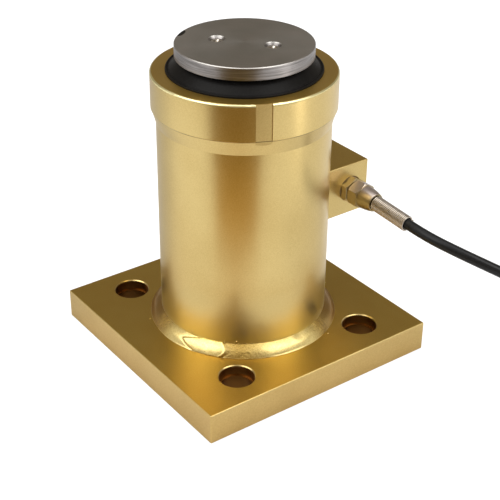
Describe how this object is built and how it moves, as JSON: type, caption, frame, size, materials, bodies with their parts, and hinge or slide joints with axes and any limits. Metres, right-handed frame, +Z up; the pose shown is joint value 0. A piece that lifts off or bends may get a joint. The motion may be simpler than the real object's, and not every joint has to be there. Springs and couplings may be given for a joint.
{
  "type": "digital load cell",
  "caption": "Compression load cell: gold painted canister welded to a square base plate, with a round load plate, dust seal, side cable gland and coiled cable.",
  "frame": {"origin": "middle of the underside of the base plate, on the axis of the housing", "axes": "+Z up along the load axis, +X towards the cable block, and the cable gland points along -Y"},
  "size_m": [0.2922, 0.211, 0.1824],
  "materials": {
    "gold_paint": "satin",
    "weld_paint": "satin",
    "load_plate_steel": "brushed",
    "screw_steel": "satin",
    "column_steel": "satin",
    "spring_steel": "satin",
    "seal_rubber": "matt",
    "gland_brass": "satin",
    "circuit_board": "satin",
    "board_black": "satin",
    "terminal_green": "satin",
    "gauge_foil": "satin",
    "copper_wire": "satin",
    "core_insulation": "satin",
    "cable_sheath": "satin",
    "tie_plastic": "satin",
    "tinned_wire": "satin"
  },
  "bodies": {
    "root": {"base_plate": "gold_paint", "housing": "gold_paint", "base_weld": "weld_paint", "cable_block": "gold_paint", "load_column": "column_steel", "column_screws": "screw_steel", "load_plate": "load_plate_steel", "load_plate_screws": "screw_steel", "diaphragm": "column_steel", "hub_ring": "column_steel", "clamp_ring": "column_steel", "dust_seal": "seal_rubber", "strain_gauges": "gauge_foil", "gauge_tabs": "gauge_foil", "gauge_wires": "copper_wire", "ring_board": "circuit_board", "bridge_leads": "copper_wire", "board_bracket": "column_steel", "bracket_screws": "screw_steel", "converter_board": "circuit_board", "board_spacers": "gland_brass", "board_screws": "screw_steel", "board_parts": "board_black", "terminal_block": "terminal_green", "signal_cores": "core_insulation", "gland_body": "gland_brass", "gland_o_ring": "seal_rubber", "gland_bush": "seal_rubber", "gland_nut": "gland_brass", "relief_spring": "spring_steel", "held_cable": "cable_sheath", "cable": "cable_sheath", "cable_coil": "cable_sheath", "coil_ties": "tie_plastic", "cable_tail": "cable_sheath", "end_sleeve": "tie_plastic", "core_ends": "core_insulation", "core_tips": "tinned_wire"}
  },
  "joints": []
}
